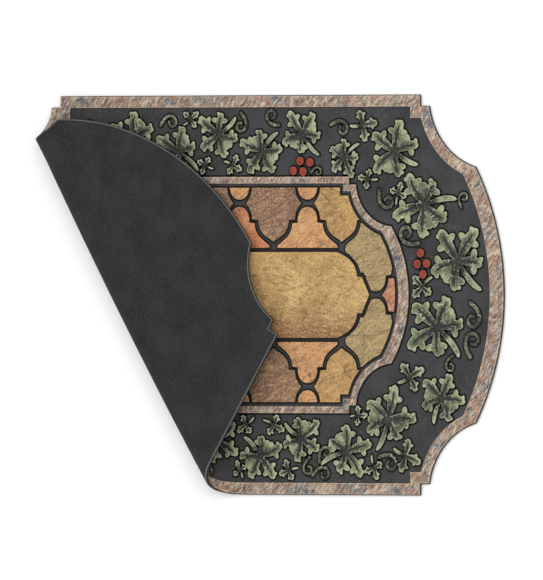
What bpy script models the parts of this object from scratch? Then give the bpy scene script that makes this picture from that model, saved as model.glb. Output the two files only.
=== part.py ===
"""Moulded rubber door mat lying on a floor, with one end folded over onto its face.

The mat is modelled flat, face up, then bent along a slanting fold. It is one moulding: a thin base
with a raised border, inner border, lantern tiles, bare centre panel, ivy leaves, tendrils and berries.
Metres, +Z up, origin on the floor under the centre of the mat as it lay flat, +X along its length.
"""

from math import atan2, cos, hypot, inf, pi, radians, sin, sqrt

import bmesh
import bpy
from mathutils import Vector

MM = 0.001

# The rubber sheet and how far its face stands up
BASE = 4.0 * MM
ROOT = 1.0 * MM
BORDER_RISE = 2.0 * MM
TILE_RISE = 1.6 * MM
LEAF_RISE = 2.3 * MM
TENDRIL_RISE = 1.6 * MM
BERRY_RISE = 3.0 * MM

# Plaque outlines: half sizes, the notch in each long edge, the hollow corner and the bowed end
MAT = dict(length=457.2 * MM, width=292.1 * MM, notch=313.4 * MM, ledge=275.5 * MM,
           hollow=(435.6 * MM, 291.4 * MM), hollow_radius=108.0 * MM, end_radius=381.5 * MM)
FIELD = dict(length=293.0 * MM, width=173.0 * MM, notch=190.5 * MM, ledge=161.5 * MM,
             hollow=(268.0 * MM, 166.0 * MM), hollow_radius=66.0 * MM, end_radius=182.4 * MM)

# Border widths along the sides and round the ends, and the bare line of base between pieces
BORDER = (18.0 * MM, 25.0 * MM)
INNER_BORDER = (10.5 * MM, 18.0 * MM)
LIP = 1.0 * MM
GROUT = 5.5 * MM

# A quarter of the centre panel's outline, from its end's point to its long edge, in millimetres
PANEL = (
    # x, y
    (225.0, 0.0),
    (212.0, 27.0),
    (204.0, 27.0),
    (202.5, 35.0),
    (197.5, 45.0),
    (187.0, 54.5),
    (170.0, 63.0),
)

# Lantern tiles: the cell's half width and half height, and a quarter of each kind's outline in
# millimetres. Wide ones stand in odd columns of even rows, narrow ones in even columns of odd rows.
# Their steps slant, since points in one line across a tile leave its cap with doubled edges.
CELL = (59.0 * MM, 67.0 * MM)
WIDE_TILE = (
    # x, y
    (48.5, 0.0),
    (43.6, 5.5),
    (39.2, 13.0),
    (37.0, 24.0),
    (26.5, 25.0),
    (26.2, 30.0),
    (23.4, 38.5),
    (15.8, 46.8),
    (6.6, 52.2),
    (0.0, 57.0),
)
NARROW_TILE = (
    # x, y
    (53.0, 0.0),
    (51.5, 6.0),
    (41.5, 13.0),
    (33.0, 20.5),
    (28.2, 29.0),
    (26.2, 38.0),
    (17.0, 39.0),
    (17.0, 45.0),
    (14.6, 53.0),
    (8.6, 59.6),
    (0.0, 62.0),
)

# The garland runs along a rounded ring between the two borders
GARLAND = (361.0 * MM, 223.0 * MM)
GARLAND_POWER = 3.3
LEAF_COUNT = 24
LEAF_SIZE = (74.0 * MM, 102.0 * MM)
LEAF_STANDOFF = (12.0 * MM, 18.0 * MM)
LEAF_TURN = radians(50.0)
SPRIG_SIZE = (46.0 * MM, 66.0 * MM)
TENDRIL_LENGTH = (62.0 * MM, 80.0 * MM)
TENDRIL_WIDTH = 0.085
TENDRIL_TAPER = 0.25
TENDRIL_CURL = radians(380.0)
TENDRIL_STANDOFF = (25.0 * MM, 34.0 * MM)
FILLER_STANDOFF = (33.0 * MM, 45.0 * MM)
BERRY_RADIUS = 6.6 * MM
BERRY_SPACING = 14.2 * MM

# The lobes round an ivy leaf's heart, then its stalk; lengths and half widths as parts of its size
IVY = (
    # degrees from the tip, length, half width, curl in degrees
    (0, 0.56, 0.092, 12),
    (64, 0.55, 0.090, 30),
    (124, 0.45, 0.078, 40),
    (185, 0.56, 0.046, -34),
    (237, 0.43, 0.074, -36),
    (296, 0.53, 0.088, -30),
)

# A small leaf of three lobes and a stalk, in the same way
SPRIG = (
    # degrees from the tip, length, half width, curl in degrees
    (0, 0.57, 0.120, 22),
    (84, 0.49, 0.108, 40),
    (181, 0.52, 0.056, 30),
    (274, 0.49, 0.108, -40),
)

# How the half width of a lobe, and of a stalk, runs to its end, and how near the heart two lobes part
LOBE_SIDE = (
    # share of its length, share of its half width
    (0.36, 0.62),
    (0.64, 1.72),
    (0.92, 1.00),
)
STALK_SIDE = (
    # share of its length, share of its half width
    (0.30, 0.70),
    (0.93, 1.00),
)
STALK_WIDTH = 0.065
VALLEY = 0.20
RIB_STEPS = 24

# How much a lobe's length varies, and how fast from leaf to leaf and from lobe to lobe
VARIETY = (0.08, 1.9, 2.3)

# Each piece is as large as its place allows, of these parts of its full size and turned one of
# these ways, the first that leaves it clear of those near it when it is grown a little
PARTS = (1.0, 0.93, 0.86, 0.79, 0.72, 0.65, 0.58)
TURNS = (0, 20, -20, 40, -40, 60, -60, 85, -85)
GROWTH = 1.05
NEAR = 122.0 * MM
TENDRIL_SHARES = (0.0, 0.25, 0.42, 0.56, 0.68, 0.78, 0.86, 0.93, 1.0)

# What fills the side of the ring that each leaf leaves free
FILLERS = (
    # place in a cycle of four, kind, along in leaf sizes, degrees of turn
    (0, "sprig", 0.34, -30),
    (1, "tendril", -0.42, 0),
    (1, "sprig", 0.55, -120),
    (2, "sprig", -0.32, -150),
    (2, "sprig", 0.32, -30),
    (3, "sprig", -0.30, 160),
    (3, "tendril", 0.40, 180),
)

# Then what fills the gaps left: how many places round the ring for each kind, the standoffs tried
# at each, and how small a piece may get
GAPS = (
    # kind, places round the ring
    ("sprig", 84),
    ("tendril", 14),
)
GAP_STANDOFFS = (-45.0 * MM, -15.0 * MM, 15.0 * MM, 45.0 * MM)
GAP_PARTS = (1.0, 0.88, 0.76, 0.66)
GAP_TURN = 2.4

# Where a bunch's berries lie, in berry spacings along the garland and across it
BUNCH_EVERY = 4
BUNCH = (
    # along, across
    (-1.1, -0.1),
    (0.0, 0.55),
    (0.0, -0.6),
    (1.1, 0.1),
)

# The fold: direction across it, where it leaves the floor, its loop, lean and rest
FOLD_ANGLE = radians(31.0)
FOLD_START = -143.0 * MM
FOLD_BOW = 6.0 * MM
FOLD_REACH = 330.0 * MM
NEUTRAL = 2.0 * MM
LOOP_RADIUS = 26.0 * MM
LEAN = radians(10.0)
SETTLE_RADIUS = 150.0 * MM
REST_HEIGHT = 13.2 * MM
LOOP_STEPS = 12
SETTLE_STEPS = 3
BOW_STEPS = 6
UNDER_FLAP = 35.0 * MM
CLEARANCE = 1.0 * MM

ARC_STEP = radians(7.5)


def clear_scene():
    for item in list(bpy.data.objects):
        bpy.data.objects.remove(item, do_unlink=True)


def rubber(name, colour, roughness):
    material = bpy.data.materials.new(name)
    material.use_nodes = True
    shader = material.node_tree.nodes["Principled BSDF"]
    shader.inputs["Base Color"].default_value = (*colour, 1.0)
    shader.inputs["Roughness"].default_value = roughness
    shader.inputs["Metallic"].default_value = 0.0
    return material


def arc(centre, radius, start, end):
    """Points from angle start to angle end."""
    steps = max(2, round(abs(end - start) / ARC_STEP))
    angles = [start + (end - start) * i / steps for i in range(steps + 1)]
    return [(centre[0] + radius * cos(a), centre[1] + radius * sin(a)) for a in angles]


def mirrored(quarter):
    """A closed counterclockwise outline from its quarter, which starts on the x axis."""
    upper = quarter + [(-x, y) for x, y in reversed(quarter) if x > 0]
    return upper + [(x, -y) for x, y in reversed(upper[1:-1])]


def outset(loop, width):
    """A counterclockwise outline moved out by width, its corners kept sharp."""
    moved = []
    for (ax, ay), (bx, by), (cx, cy) in zip(loop[-1:] + loop[:-1], loop, loop[1:] + loop[:1]):
        before, after = hypot(bx - ax, by - ay), hypot(cx - bx, cy - by)
        px, py = (by - ay) / before, (ax - bx) / before
        qx, qy = (cy - by) / after, (bx - cx) / after
        reach = width / (1 + px * qx + py * qy)
        moved.append((bx + reach * (px + qx), by + reach * (py + qy)))
    return moved


def scaled(quarter):
    """A table's points, given in millimetres, as metres."""
    return [(x * MM, y * MM) for x, y in quarter]


def plaque(shape, side=0.0, end=0.0):
    """The plaque's outline as a counterclockwise loop, drawn in by side and, at the bowed ends, end."""
    bow = shape["end_radius"] - end
    bow_x = shape["length"] - shape["end_radius"]
    hollow = shape["hollow_radius"] + side
    hx, hy = shape["hollow"]
    top, ledge, notch = (shape[key] - side for key in ("width", "ledge", "notch"))
    # Where the bowed end meets the hollow corner
    gap = hypot(hx - bow_x, hy)
    along = (bow**2 - hollow**2 + gap**2) / (2 * gap)
    off = sqrt(bow**2 - along**2)
    corner = (bow_x + (along * (hx - bow_x) + off * hy) / gap, (along * hy - off * (hx - bow_x)) / gap)
    ledge_x = hx - sqrt(hollow**2 - (ledge - hy) ** 2)
    start = atan2(corner[1] - hy, corner[0] - hx) % (2 * pi)
    finish = atan2(ledge - hy, ledge_x - hx) % (2 * pi)
    quarter = arc((bow_x, 0.0), bow, 0.0, atan2(corner[1], corner[0] - bow_x))
    quarter += arc((hx, hy), hollow, start, finish)[1:]
    return mirrored([*quarter, (notch, ledge), (notch, top)])


def inside(point, loop):
    """Whether a flat point lies inside a loop."""
    x, y = point
    crossed = False
    for (ax, ay), (bx, by) in zip(loop, loop[1:] + loop[:1]):
        if (ay > y) != (by > y) and x < ax + (bx - ax) * (y - ay) / (by - ay):
            crossed = not crossed
    return crossed


def slab(name, loops, low, high):
    """A mesh object with the given flat outlines, which may be holes in each other, from low to high."""
    curve = bpy.data.curves.new(name, "CURVE")
    curve.dimensions = "2D"
    curve.fill_mode = "BOTH"
    curve.extrude = (high - low) / 2
    for loop in loops:
        spline = curve.splines.new("POLY")
        spline.points.add(len(loop) - 1)
        for point, (x, y) in zip(spline.points, loop):
            point.co = (x, y, 0.0, 1.0)
        spline.use_cyclic_u = True
    outline = bpy.data.objects.new(name, curve)
    outline.location.z = (low + high) / 2
    bpy.context.collection.objects.link(outline)
    bpy.context.view_layer.update()
    mesh = bpy.data.meshes.new_from_object(outline.evaluated_get(bpy.context.evaluated_depsgraph_get()))
    mesh.transform(outline.matrix_world)
    bpy.data.objects.remove(outline, do_unlink=True)
    bm = bmesh.new()
    bm.from_mesh(mesh)
    bmesh.ops.remove_doubles(bm, verts=bm.verts, dist=1e-6)
    bmesh.ops.dissolve_limit(bm, angle_limit=radians(0.5), verts=bm.verts, edges=bm.edges)
    bmesh.ops.recalc_face_normals(bm, faces=bm.faces)
    bm.to_mesh(mesh)
    bm.free()
    solid = bpy.data.objects.new(name, mesh)
    bpy.context.collection.objects.link(solid)
    return solid


def joined(name, solids):
    """Solids that stand apart, made one object."""
    bm = bmesh.new()
    for solid in solids:
        bm.from_mesh(solid.data)
        bpy.data.objects.remove(solid, do_unlink=True)
    mesh = bpy.data.meshes.new(name)
    bm.to_mesh(mesh)
    bm.free()
    together = bpy.data.objects.new(name, mesh)
    bpy.context.collection.objects.link(together)
    return together


def combine(target, other, operation, solver="EXACT"):
    """Applies a Boolean of other to target, then removes other."""
    modifier = target.modifiers.new(operation.title(), "BOOLEAN")
    modifier.operation = operation
    modifier.solver = solver
    modifier.object = other
    bpy.context.view_layer.update()
    mesh = bpy.data.meshes.new_from_object(target.evaluated_get(bpy.context.evaluated_depsgraph_get()))
    target.modifiers.remove(modifier)
    target.data = mesh
    bpy.data.objects.remove(other, do_unlink=True)
    return target


def across_fold(x, y):
    """Flat coordinates across the fold and along it."""
    return (x * cos(FOLD_ANGLE) + y * sin(FOLD_ANGLE), y * cos(FOLD_ANGLE) - x * sin(FOLD_ANGLE))


def lean_length():
    """How far the flap runs straight down from the loop before it settles."""
    top = NEUTRAL + LOOP_RADIUS * (1 + cos(LEAN))
    return (top - REST_HEIGHT - SETTLE_RADIUS * (1 - cos(LEAN))) / sin(LEAN)


# Length and curvature of each stretch of the fold's section, from the floor on
SECTION = (
    (LOOP_RADIUS * (pi + LEAN), 1 / LOOP_RADIUS),
    (lean_length(), 0.0),
    (SETTLE_RADIUS * LEAN, -1 / SETTLE_RADIUS),
    (inf, 0.0),
)


def section(distance):
    """Place across the fold, height and turn of the neutral layer, distance past the fold's start."""
    across, height, turn = FOLD_START, NEUTRAL, 0.0
    for length, curvature in SECTION:
        step = min(distance, length)
        ahead = turn + curvature * step
        if curvature:
            across -= (sin(ahead) - sin(turn)) / curvature
            height -= (cos(ahead) - cos(turn)) / curvature
        else:
            across -= step * cos(turn)
            height += step * sin(turn)
        turn = ahead
        distance -= step
    return across, height, turn


def bow(along):
    """How far the fold's line swings out, most at its middle."""
    return -FOLD_BOW * max(0.0, 1 - (along / FOLD_REACH) ** 2)


def from_fold(across, along, height):
    """A point from its place across the fold and along it."""
    return Vector((
        across * cos(FOLD_ANGLE) - along * sin(FOLD_ANGLE),
        across * sin(FOLD_ANGLE) + along * cos(FOLD_ANGLE),
        height,
    ))


def folded(point):
    """Where a point of the flat mat goes."""
    across, along = across_fold(point.x, point.y)
    distance = FOLD_START - (across - bow(along))
    if distance <= 0:
        return point.copy()
    place, height, turn = section(distance)
    proud = point.z - NEUTRAL
    return from_fold(place + bow(along) + proud * sin(turn), along, height + proud * cos(turn))


def under_flap(x, y, outline):
    """Whether a spot of the face is in the fold, on the flap, or well under the flap."""
    across, along = across_fold(x, y)
    if across < FOLD_START + UNDER_FLAP:
        return True
    loop_length = SECTION[0][0]
    above = 2 * FOLD_START - loop_length - across - UNDER_FLAP
    spot = from_fold(above, along, 0.0)
    return inside((spot.x, spot.y), outline)


def widening(place):
    """0 along the mat's sides, where the garland is narrow, rising to 1 at its ends."""
    return min(1.0, abs(place.x) / GARLAND[0]) ** 2


def between(pair, share):
    return pair[0] + (pair[1] - pair[0]) * share


def garland(count, steps=1440):
    """Places round the ring with their headings, further apart where the leaves are larger."""
    power = 2 / GARLAND_POWER
    ring = []
    for i in range(steps + 1):
        a = 2 * pi * i / steps
        x, y = (half * abs(part) ** power * (1 if part > 0 else -1)
                for half, part in zip(GARLAND, (cos(a), sin(a))))
        ring.append(Vector((x, y)))
    reach = [0.0]
    for here, there in zip(ring, ring[1:]):
        reach.append(reach[-1] + (there - here).length / between(LEAF_SIZE, widening(here)))
    places = []
    i = 0
    for k in range(count):
        goal = reach[-1] * (k + 0.5) / count
        while reach[i + 1] < goal:
            i += 1
        heading = ring[i + 1] - ring[i]
        places.append((ring[i], atan2(heading.y, heading.x)))
    return places


def cross(a, b, c, d):
    """Whether the stretch from a to b crosses the one from c to d."""
    def way(p, q, r):
        return (q[0] - p[0]) * (r[1] - p[1]) - (q[1] - p[1]) * (r[0] - p[0]) > 0
    return way(a, b, c) != way(a, b, d) and way(c, d, a) != way(c, d, b)


def rib(x, y, heading, length, curl, share):
    """The place and direction a share of the way along a rib that curls more towards its end."""
    for i in range(RIB_STEPS):
        way = heading + curl * (share * (i + 0.5) / RIB_STEPS) ** 2
        x += length * share / RIB_STEPS * cos(way)
        y += length * share / RIB_STEPS * sin(way)
    return x, y, heading + curl * share**2


def leaf(lobes, place, heading, size, side, number):
    """A leaf's outline round its heart, its lobes a little longer or shorter by its number."""
    amount, by_leaf, by_lobe = VARIETY
    lengths = [size * length * (1 + amount * sin(by_leaf * number + by_lobe * i))
               for i, (_, length, _, _) in enumerate(lobes)]
    loop = []
    for i, (degrees, _, width, curl) in enumerate(lobes):
        start, turn = heading + side * radians(degrees), side * radians(curl)
        shape = LOBE_SIDE if width > STALK_WIDTH else STALK_SIDE
        for way, shares in ((-side, shape), (side, tuple(reversed(shape)))):
            for share, part in shares:
                x, y, direction = rib(*place, start, lengths[i], turn, share)
                off = way * width * size * part
                loop.append((x - off * sin(direction), y + off * cos(direction)))
            if way == -side:
                loop.append(rib(*place, start, lengths[i], turn, 1.0)[:2])
        after = (lobes[(i + 1) % len(lobes)][0] - degrees) % 360
        middle = start + side * radians(after / 2)
        part = VALLEY * min(lengths[i], lengths[(i + 1) % len(lobes)])
        loop.append((place[0] + part * cos(middle), place[1] + part * sin(middle)))
    return loop


def tendril(place, heading, length, width, curl):
    """A stem that ends in a spiral, tapering a little."""
    left, right = [], []
    for share in TENDRIL_SHARES:
        x, y, direction = rib(*place, heading, length, curl, share)
        off = width / 2 * (1 - TENDRIL_TAPER * share)
        left.append((x - off * sin(direction), y + off * cos(direction)))
        right.append((x + off * sin(direction), y - off * cos(direction)))
    return left + right[::-1]


def berries(place, heading):
    """The outlines of a bunch of berries."""
    loops = []
    for along, across in BUNCH:
        x = place.x + BERRY_SPACING * (along * cos(heading) - across * sin(heading))
        y = place.y + BERRY_SPACING * (along * sin(heading) + across * cos(heading))
        loops.append([(x + BERRY_RADIUS * cos(pi * i / 3), y + BERRY_RADIUS * sin(pi * i / 3))
                      for i in range(6)])
    return loops


def stands_clear(loop, others, outer, inner):
    """Whether a loop, grown a little, lies between the two borders and off the other loops."""
    x, y = (sum(point[axis] for point in loop) / len(loop) for axis in (0, 1))
    near = [other for other in others if hypot(other[0][0] - x, other[0][1] - y) < NEAR]
    if any(inside((x, y), other) for other in near):
        return False
    grown = [(x + GROWTH * (px - x), y + GROWTH * (py - y)) for px, py in loop]
    if any(inside(point, inner) or not inside(point, outer) for point in grown):
        return False
    if any(inside(point, other) for other in near for point in grown):
        return False
    if any(inside(point, grown) for other in near for point in other):
        return False
    sides = list(zip(grown, grown[1:] + grown[:1]))
    return not any(cross(*side, *other_side) for other in near
                   for other_side in zip(other, other[1:] + other[:1]) for side in sides)


def garland_poses():
    """What stands in the garland: kind, place, heading, size, side and number, in the order of fitting."""
    places = garland(LEAF_COUNT)
    poses = []
    for k, (place, heading) in enumerate(places[::BUNCH_EVERY]):
        out = Vector((-sin(heading), cos(heading)))
        poses.append(("berries", place + out * between(FILLER_STANDOFF, widening(place)), heading, 1.0, 1, k))
    for k, (place, heading) in enumerate(places):
        side = 1 if k % 2 else -1
        out = Vector((-sin(heading), cos(heading))) * side
        wide = widening(place)
        poses.append(("ivy", place + out * between(LEAF_STANDOFF, wide), heading + side * LEAF_TURN,
                      between(LEAF_SIZE, wide), side, k))
    for k, (place, heading) in enumerate(places):
        side = 1 if k % 2 else -1
        along, out = Vector((cos(heading), sin(heading))), Vector((-sin(heading), cos(heading))) * side
        wide = widening(place)
        for _, kind, shift, turn in (row for row in FILLERS if row[0] == k % 4):
            standoff = between(TENDRIL_STANDOFF if kind == "tendril" else FILLER_STANDOFF, wide)
            spot = place + along * shift * between(LEAF_SIZE, wide) - out * standoff
            size = between(SPRIG_SIZE if kind == "sprig" else TENDRIL_LENGTH, wide)
            poses.append((kind, spot, heading - side * radians(turn), size, -side, k))
    for kind, count in GAPS:
        for k, (place, heading) in enumerate(garland(count)):
            for i, standoff in enumerate(GAP_STANDOFFS):
                spot = place + Vector((-sin(heading), cos(heading))) * standoff
                size = between(SPRIG_SIZE if kind == "sprig" else TENDRIL_LENGTH, widening(place))
                poses.append((kind, spot, heading + GAP_TURN * (k + i), size, (-1) ** (k + i), -1 - k))
    return poses


def outlines(kind, spot, heading, size, side, number):
    """The outlines of one pose, which for a bunch of berries are several."""
    if kind == "berries":
        return berries(spot, heading)
    if kind == "tendril":
        return [tendril(spot, heading, size, TENDRIL_WIDTH * size, side * TENDRIL_CURL)]
    return [leaf(IVY if kind == "ivy" else SPRIG, spot, heading, size, side, number)]


def garland_loops():
    """The outlines in the garland, each of the first size and turn that stands clear, by kind."""
    outer = plaque(MAT, *(width + CLEARANCE for width in BORDER))
    inner = plaque(FIELD, -CLEARANCE, -CLEARANCE)
    loops = dict(ivy=[], sprig=[], tendril=[], berries=[])
    for kind, spot, heading, size, side, number in garland_poses():
        others = [loop for group in loops.values() for loop in group]
        parts = PARTS if number >= 0 else GAP_PARTS
        for part, turn in ((part, radians(turn)) for part in parts for turn in TURNS):
            made = outlines(kind, spot, heading + turn, size * part, side, number)
            if all(stands_clear(loop, others, outer, inner) for loop in made):
                loops[kind] += made
                break
    return loops


def garland_solids(outline):
    """The garland, where it shows."""
    rises = dict(ivy=LEAF_RISE, sprig=LEAF_RISE, tendril=TENDRIL_RISE, berries=BERRY_RISE)
    solids = []
    for kind, loops in garland_loops().items():
        for loop in loops:
            x, y = (sum(point[axis] for point in loop) / len(loop) for axis in (0, 1))
            if not under_flap(x, y, outline):
                solids.append(slab("piece", [loop], BASE - ROOT, BASE + rises[kind]))
    return solids


def tile(column, row):
    """One tile's outline, wide in odd columns and narrow in even ones."""
    quarter = WIDE_TILE if column % 2 else NARROW_TILE
    return [(x + column * CELL[0], y + row * CELL[1]) for x, y in mirrored(scaled(quarter))]


def tiles(outline):
    """The tiles between the inner border and the centre panel, cut off where these end."""
    keep = plaque(FIELD, INNER_BORDER[0] + GROUT, INNER_BORDER[1] + GROUT)
    leave = outset(mirrored(scaled(PANEL)), GROUT)
    columns = int(FIELD["length"] / CELL[0]) + 1
    rows = int(FIELD["width"] / CELL[1]) + 1
    solids = []
    for row in range(-rows, rows + 1):
        for column in range(-columns, columns + 1):
            if (row + column) % 2 == 0 or under_flap(column * CELL[0], row * CELL[1], outline):
                continue
            loop = tile(column, row)
            kept = [inside(point, keep) and not inside(point, leave) for point in loop]
            if not any(kept):
                continue
            solid = slab("tile", [loop], BASE - ROOT, BASE + TILE_RISE)
            if not all(kept):
                solid = combine(solid, slab("field", [keep, leave], 0.0, BASE + BERRY_RISE), "INTERSECT")
            solids.append(solid)
    return joined("tiles", solids)


def cut_for_fold(solid):
    """Cuts a flat solid along the stations of the fold and, past its start, across them."""
    bm = bmesh.new()
    bm.from_mesh(solid.data)
    for vert in bm.verts:
        across, along = across_fold(vert.co.x, vert.co.y)
        vert.co = from_fold(across - bow(along), along, vert.co.z)
    loop_length = SECTION[0][0]
    settle = loop_length + SECTION[1][0]
    stations = [loop_length * i / LOOP_STEPS for i in range(LOOP_STEPS + 1)]
    stations += [settle + SECTION[2][0] * i / SETTLE_STEPS for i in range(SETTLE_STEPS + 1)]
    across_way, along_way = from_fold(1.0, 0.0, 0.0), from_fold(0.0, 1.0, 0.0)
    for station in stations:
        bmesh.ops.bisect_plane(bm, geom=[*bm.verts, *bm.edges, *bm.faces], dist=1e-6,
                               plane_co=across_way * (FOLD_START - station), plane_no=across_way)
    for i in range(1, BOW_STEPS):
        faces = [face for face in bm.faces if face.calc_center_median().dot(across_way) < FOLD_START]
        edges = {edge for face in faces for edge in face.edges}
        verts = {vert for face in faces for vert in face.verts}
        bmesh.ops.bisect_plane(bm, geom=[*verts, *edges, *faces], dist=1e-6,
                               plane_co=along_way * FOLD_REACH * (2 * i / BOW_STEPS - 1), plane_no=along_way)
    for vert in bm.verts:
        across, along = across_fold(vert.co.x, vert.co.y)
        vert.co = from_fold(across + bow(along), along, vert.co.z)
    bm.to_mesh(solid.data)
    bm.free()
    return solid


def flat_mat():
    """The whole moulding, lying flat."""
    outline = plaque(MAT)
    mat = slab("mat", [outline], 0.0, BASE)
    border = slab("border", [plaque(MAT, LIP, LIP), plaque(MAT, *BORDER)], BASE - ROOT, BASE + BORDER_RISE)
    inner = slab("inner_border", [plaque(FIELD), plaque(FIELD, *INNER_BORDER)],
                 BASE - ROOT, BASE + BORDER_RISE)
    panel = slab("panel", [mirrored(scaled(PANEL))], BASE - ROOT, BASE + TILE_RISE)
    sheets = [cut_for_fold(solid) for solid in (border, inner, panel)]
    face = joined("face", [*sheets, tiles(outline), *garland_solids(outline)])
    # The exact solver leaves this union open along the border, and both meshes are closed
    return combine(cut_for_fold(mat), face, "UNION", "MANIFOLD")


def main():
    clear_scene()
    collection = bpy.data.collections.new("rubber_outdoor_mat")
    bpy.context.scene.collection.children.link(collection)
    mat = flat_mat()
    bm = bmesh.new()
    bm.from_mesh(mat.data)
    bmesh.ops.triangulate(bm, faces=bm.faces)
    for vert in bm.verts:
        vert.co = folded(vert.co)
    bmesh.ops.recalc_face_normals(bm, faces=bm.faces)
    bm.to_mesh(mat.data)
    bm.free()
    mat.data.materials.clear()
    mat.data.materials.append(rubber("black_rubber", (0.035, 0.035, 0.037), 0.85))
    for home in list(mat.users_collection):
        home.objects.unlink(mat)
    collection.objects.link(mat)


main()
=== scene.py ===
from math import asin, atan2, cos, hypot, inf, pi, radians, sin, sqrt

import bpy
import numpy as np
from mathutils import Matrix, Vector
from mathutils.geometry import delaunay_2d_cdt


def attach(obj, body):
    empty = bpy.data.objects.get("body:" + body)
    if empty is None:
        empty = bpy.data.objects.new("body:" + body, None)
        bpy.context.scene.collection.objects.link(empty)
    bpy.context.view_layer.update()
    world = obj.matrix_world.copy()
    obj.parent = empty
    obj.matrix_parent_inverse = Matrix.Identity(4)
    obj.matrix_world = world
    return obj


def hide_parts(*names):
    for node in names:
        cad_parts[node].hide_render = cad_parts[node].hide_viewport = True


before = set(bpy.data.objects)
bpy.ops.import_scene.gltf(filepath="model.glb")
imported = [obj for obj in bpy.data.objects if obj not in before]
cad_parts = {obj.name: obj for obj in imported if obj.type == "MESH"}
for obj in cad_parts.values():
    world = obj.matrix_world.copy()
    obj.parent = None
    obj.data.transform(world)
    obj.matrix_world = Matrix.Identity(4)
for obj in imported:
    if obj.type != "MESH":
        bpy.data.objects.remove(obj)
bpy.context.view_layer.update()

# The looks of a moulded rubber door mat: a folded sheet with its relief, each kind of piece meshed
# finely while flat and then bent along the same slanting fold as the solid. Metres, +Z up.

MM = 0.001

# The rubber sheet, how deep its relief is rooted, and how its upper and lower edges round over
BASE = 4.0 * MM
ROOT = 1.0 * MM
SHEET_DROP = 0.7 * MM
SHEET_ROUNDING = 1.0 * MM
UNDER_SHARE = 0.5

# The relief: how steeply its edge starts, how wide it rounds over, and how far each kind of piece
# rises, swells above that, and does so in from its edge
UPRIGHT = 0.35
ROUNDING = 1.5 * MM
BORDER_RISE = 2.0 * MM
BERRY_RADIUS = 6.6 * MM
RELIEF = {
    # kind: rise, swell, reach
    "tile": (1.6 * MM, 0.3 * MM, 9.0 * MM),
    "panel": (1.6 * MM, 0.2 * MM, 9.0 * MM),
    "leaf": (1.9 * MM, 0.9 * MM, 6.0 * MM),
    "tendril": (1.3 * MM, 0.9 * MM, 3.0 * MM),
    "berry": (2.3 * MM, 0.8 * MM, BERRY_RADIUS),
}

# The painted shade line round a piece's foot, a dark strip just above the base: its height, its width and
# how far it runs under the piece
FOOT_SHADE_LIFT = 0.12 * MM
FOOT_SHADE_WIDTH = 2.6 * MM
FOOT_SHADE_TUCK = 0.3 * MM

# Plaque outlines: half sizes, the notch in each long edge, the hollow corner and the bowed end
MAT = dict(length=457.2 * MM, width=292.1 * MM, notch=313.4 * MM, ledge=275.5 * MM,
           hollow=(435.6 * MM, 291.4 * MM), hollow_radius=108.0 * MM, end_radius=381.5 * MM)
FIELD = dict(length=293.0 * MM, width=173.0 * MM, notch=190.5 * MM, ledge=161.5 * MM,
             hollow=(268.0 * MM, 166.0 * MM), hollow_radius=66.0 * MM, end_radius=182.4 * MM)

# Border widths along the sides and round the ends, the rim beside the border, how far the underside
# is drawn in, and the bare line of base between tiles
BORDER = (18.0 * MM, 25.0 * MM)
INNER_BORDER = (10.5 * MM, 18.0 * MM)
LIP = 0.8 * MM
TUCK = 1.6 * MM
GROUT = 5.5 * MM

# A quarter of the centre panel's outline, from its end's point to its long edge, in millimetres
PANEL = (
    # x, y
    (225.0, 0.0),
    (212.0, 27.0),
    (204.0, 27.0),
    (202.5, 35.0),
    (197.5, 45.0),
    (187.0, 54.5),
    (170.0, 63.0),
)

# Lantern tiles: the cell's half width and half height, and a quarter of each kind's outline in
# millimetres. Wide ones stand in odd columns of even rows, narrow ones in even columns of odd rows.
# Their steps slant, since points in one line across a tile leave its cap with doubled edges.
CELL = (59.0 * MM, 67.0 * MM)
WIDE_TILE = (
    # x, y
    (48.5, 0.0),
    (43.6, 5.5),
    (39.2, 13.0),
    (37.0, 24.0),
    (26.5, 25.0),
    (26.2, 30.0),
    (23.4, 38.5),
    (15.8, 46.8),
    (6.6, 52.2),
    (0.0, 57.0),
)
NARROW_TILE = (
    # x, y
    (53.0, 0.0),
    (51.5, 6.0),
    (41.5, 13.0),
    (33.0, 20.5),
    (28.2, 29.0),
    (26.2, 38.0),
    (17.0, 39.0),
    (17.0, 45.0),
    (14.6, 53.0),
    (8.6, 59.6),
    (0.0, 62.0),
)

# The garland runs along a rounded ring between the two borders
GARLAND = (361.0 * MM, 223.0 * MM)
GARLAND_POWER = 3.3
LEAF_COUNT = 24
LEAF_SIZE = (74.0 * MM, 102.0 * MM)
LEAF_STANDOFF = (12.0 * MM, 18.0 * MM)
LEAF_TURN = radians(50.0)
FILLER_SIZES = {"sprig": (46.0 * MM, 66.0 * MM), "tendril": (62.0 * MM, 80.0 * MM)}
TENDRIL_WIDTH = 0.085
TENDRIL_TAPER = 0.25
TENDRIL_CURL = radians(380.0)
TENDRIL_STANDOFF = (25.0 * MM, 34.0 * MM)
FILLER_STANDOFF = (33.0 * MM, 45.0 * MM)
CLEARANCE = 1.0 * MM
BERRY_SPACING = 14.2 * MM

# The lobes round an ivy leaf's heart, then its stalk; lengths and half widths as parts of its size
IVY = (
    # degrees from the tip, length, half width, curl in degrees
    (0, 0.56, 0.092, 12),
    (64, 0.55, 0.090, 30),
    (124, 0.45, 0.078, 40),
    (185, 0.56, 0.046, -34),
    (237, 0.43, 0.074, -36),
    (296, 0.53, 0.088, -30),
)

# A small leaf of three lobes and a stalk, in the same way
SPRIG = (
    # degrees from the tip, length, half width, curl in degrees
    (0, 0.57, 0.120, 22),
    (84, 0.49, 0.108, 40),
    (181, 0.52, 0.056, 30),
    (274, 0.49, 0.108, -40),
)

LOBES = {"ivy": IVY, "sprig": SPRIG}

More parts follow.
